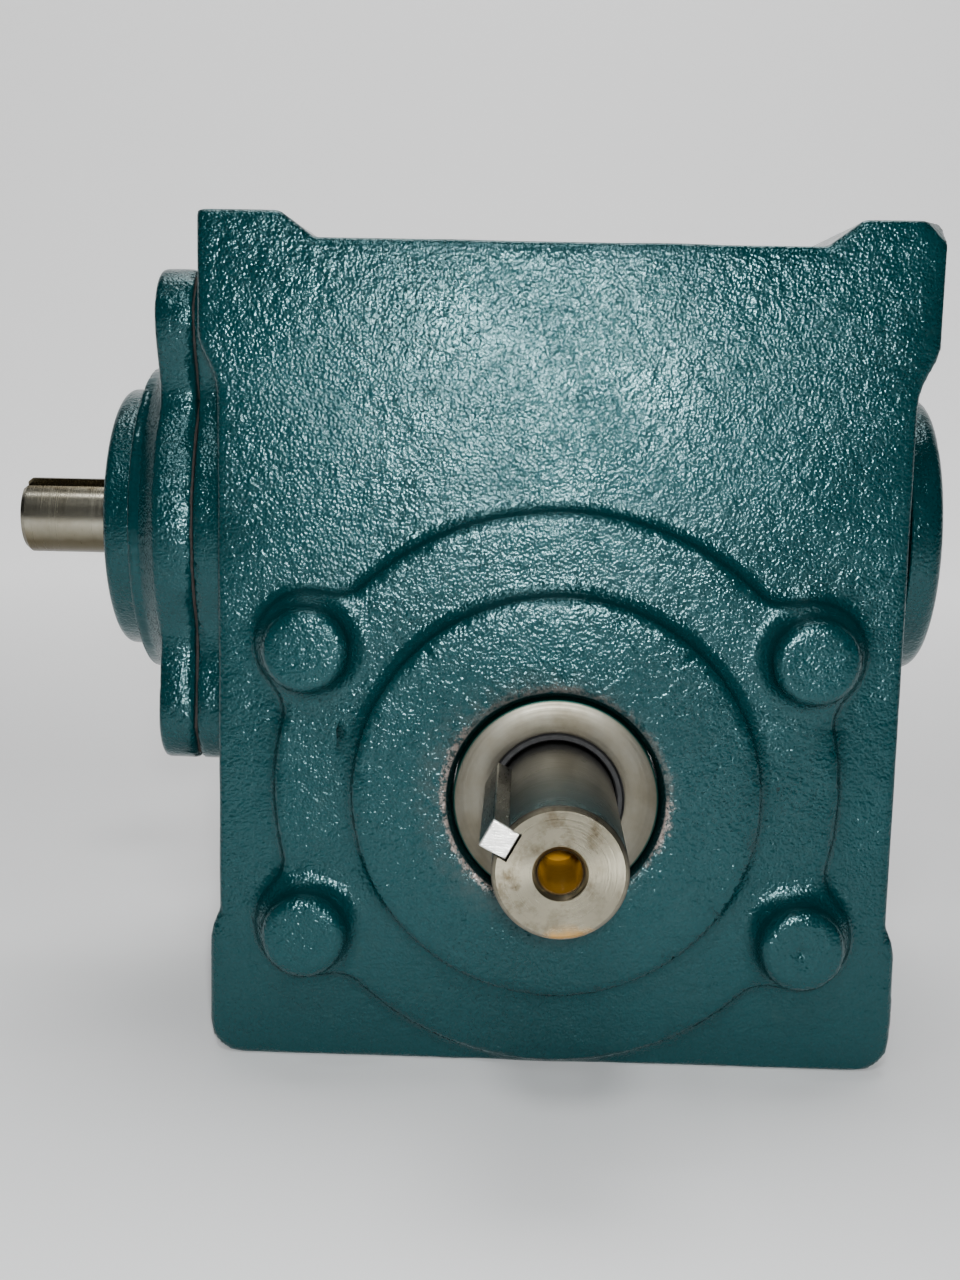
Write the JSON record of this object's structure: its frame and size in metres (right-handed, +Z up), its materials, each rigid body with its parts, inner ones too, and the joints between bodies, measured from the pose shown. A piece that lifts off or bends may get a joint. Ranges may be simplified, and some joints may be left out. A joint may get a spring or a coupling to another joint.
{
  "type": "worm gearbox",
  "caption": "Right-angle worm gearbox in a square enamelled cast-iron housing, with a keyed solid output shaft at the front and a shorter input shaft at the side",
  "frame": {"origin": "middle of the flat base, below the plane through the worm axis", "axes": "X along the worm axis, away from the input shaft end; -Y along the output shaft towards its free end; Z up from the base"},
  "size_m": [0.2444, 0.2052, 0.2095],
  "materials": {
    "enamel": "glossy dark teal enamel over rough sand-cast iron",
    "steel": "turned steel, oily, light brown staining",
    "bearing": "ground bearing steel",
    "bronze": "machined gear bronze",
    "iron": "bare machined cast iron",
    "rubber": "black nitrile rubber",
    "gasket": "brown gasket paper",
    "zinc": "zinc-plated steel",
    "cage": "rolling elements and pressed cage"
  },
  "bodies": {
    "case": {"housing": "enamel", "rear_cover": "enamel", "rear_shim": "gasket", "input_carrier": "enamel", "input_gasket": "gasket", "input_cover": "enamel", "input_seal": "rubber", "end_cap": "enamel", "bore_snap_ring": "steel", "worm_bearing_outer_left": "bearing", "worm_bearing_outer_right": "bearing", "output_cup_front": "bearing", "output_cup_rear": "bearing", "output_seal_case": "steel", "output_seal_lip": "rubber", "fill_plug": "zinc", "level_plug": "zinc", "drain_plug": "zinc", "rear_bolt_1": "zinc", "rear_bolt_2": "zinc", "rear_bolt_3": "zinc", "rear_bolt_4": "zinc", "input_screw_1": "zinc", "input_screw_2": "zinc", "input_screw_3": "zinc", "input_screw_4": "zinc", "cap_screw_1": "zinc", "cap_screw_2": "zinc", "cap_screw_3": "zinc", "cap_screw_4": "zinc"},
    "worm": {"worm_shaft": "steel", "worm_bearing_inner_left": "bearing", "worm_bearing_inner_right": "bearing", "worm_snap_ring": "steel"},
    "output": {"output_shaft": "steel", "output_key": "steel", "wheel_hub": "iron", "wheel_rim": "bronze", "wheel_key": "steel", "spacer_sleeve": "steel", "output_cone_front": "bearing", "output_cone_rear": "bearing"},
    "balls_left": {"worm_bearing_balls_left": "cage"},
    "balls_right": {"worm_bearing_balls_right": "cage"},
    "rollers_front": {"output_rollers_front": "cage"},
    "rollers_rear": {"output_rollers_rear": "cage"}
  },
  "joints": [
    {"name": "output_spin", "type": "hinge", "parent": "case", "child": "output", "pos_m": [0, 0, 0.0711], "axis": [0, -1, 0], "continuous": true},
    {"name": "worm_spin", "type": "hinge", "parent": "case", "child": "worm", "pos_m": [0, 0, 0.13142], "axis": [1, 0, 0], "continuous": true},
    {"name": "rollers_front_spin", "type": "hinge", "parent": "case", "child": "rollers_front", "pos_m": [0, -0.05, 0.0711], "axis": [0, -1, 0], "continuous": true},
    {"name": "rollers_rear_spin", "type": "hinge", "parent": "case", "child": "rollers_rear", "pos_m": [0, 0.05, 0.0711], "axis": [0, -1, 0], "continuous": true},
    {"name": "balls_left_spin", "type": "hinge", "parent": "case", "child": "balls_left", "pos_m": [-0.096, 0, 0.13142], "axis": [1, 0, 0], "continuous": true},
    {"name": "balls_right_spin", "type": "hinge", "parent": "case", "child": "balls_right", "pos_m": [0.0775, 0, 0.13142], "axis": [1, 0, 0], "continuous": true}
  ],
  "couplings": [
    {"joint": "worm_spin", "follows": "output_spin", "ratio": 30},
    {"joint": "rollers_front_spin", "follows": "output_spin", "ratio": 0.4},
    {"joint": "rollers_rear_spin", "follows": "output_spin", "ratio": 0.4},
    {"joint": "balls_left_spin", "follows": "output_spin", "ratio": 12},
    {"joint": "balls_right_spin", "follows": "output_spin", "ratio": 12}
  ]
}
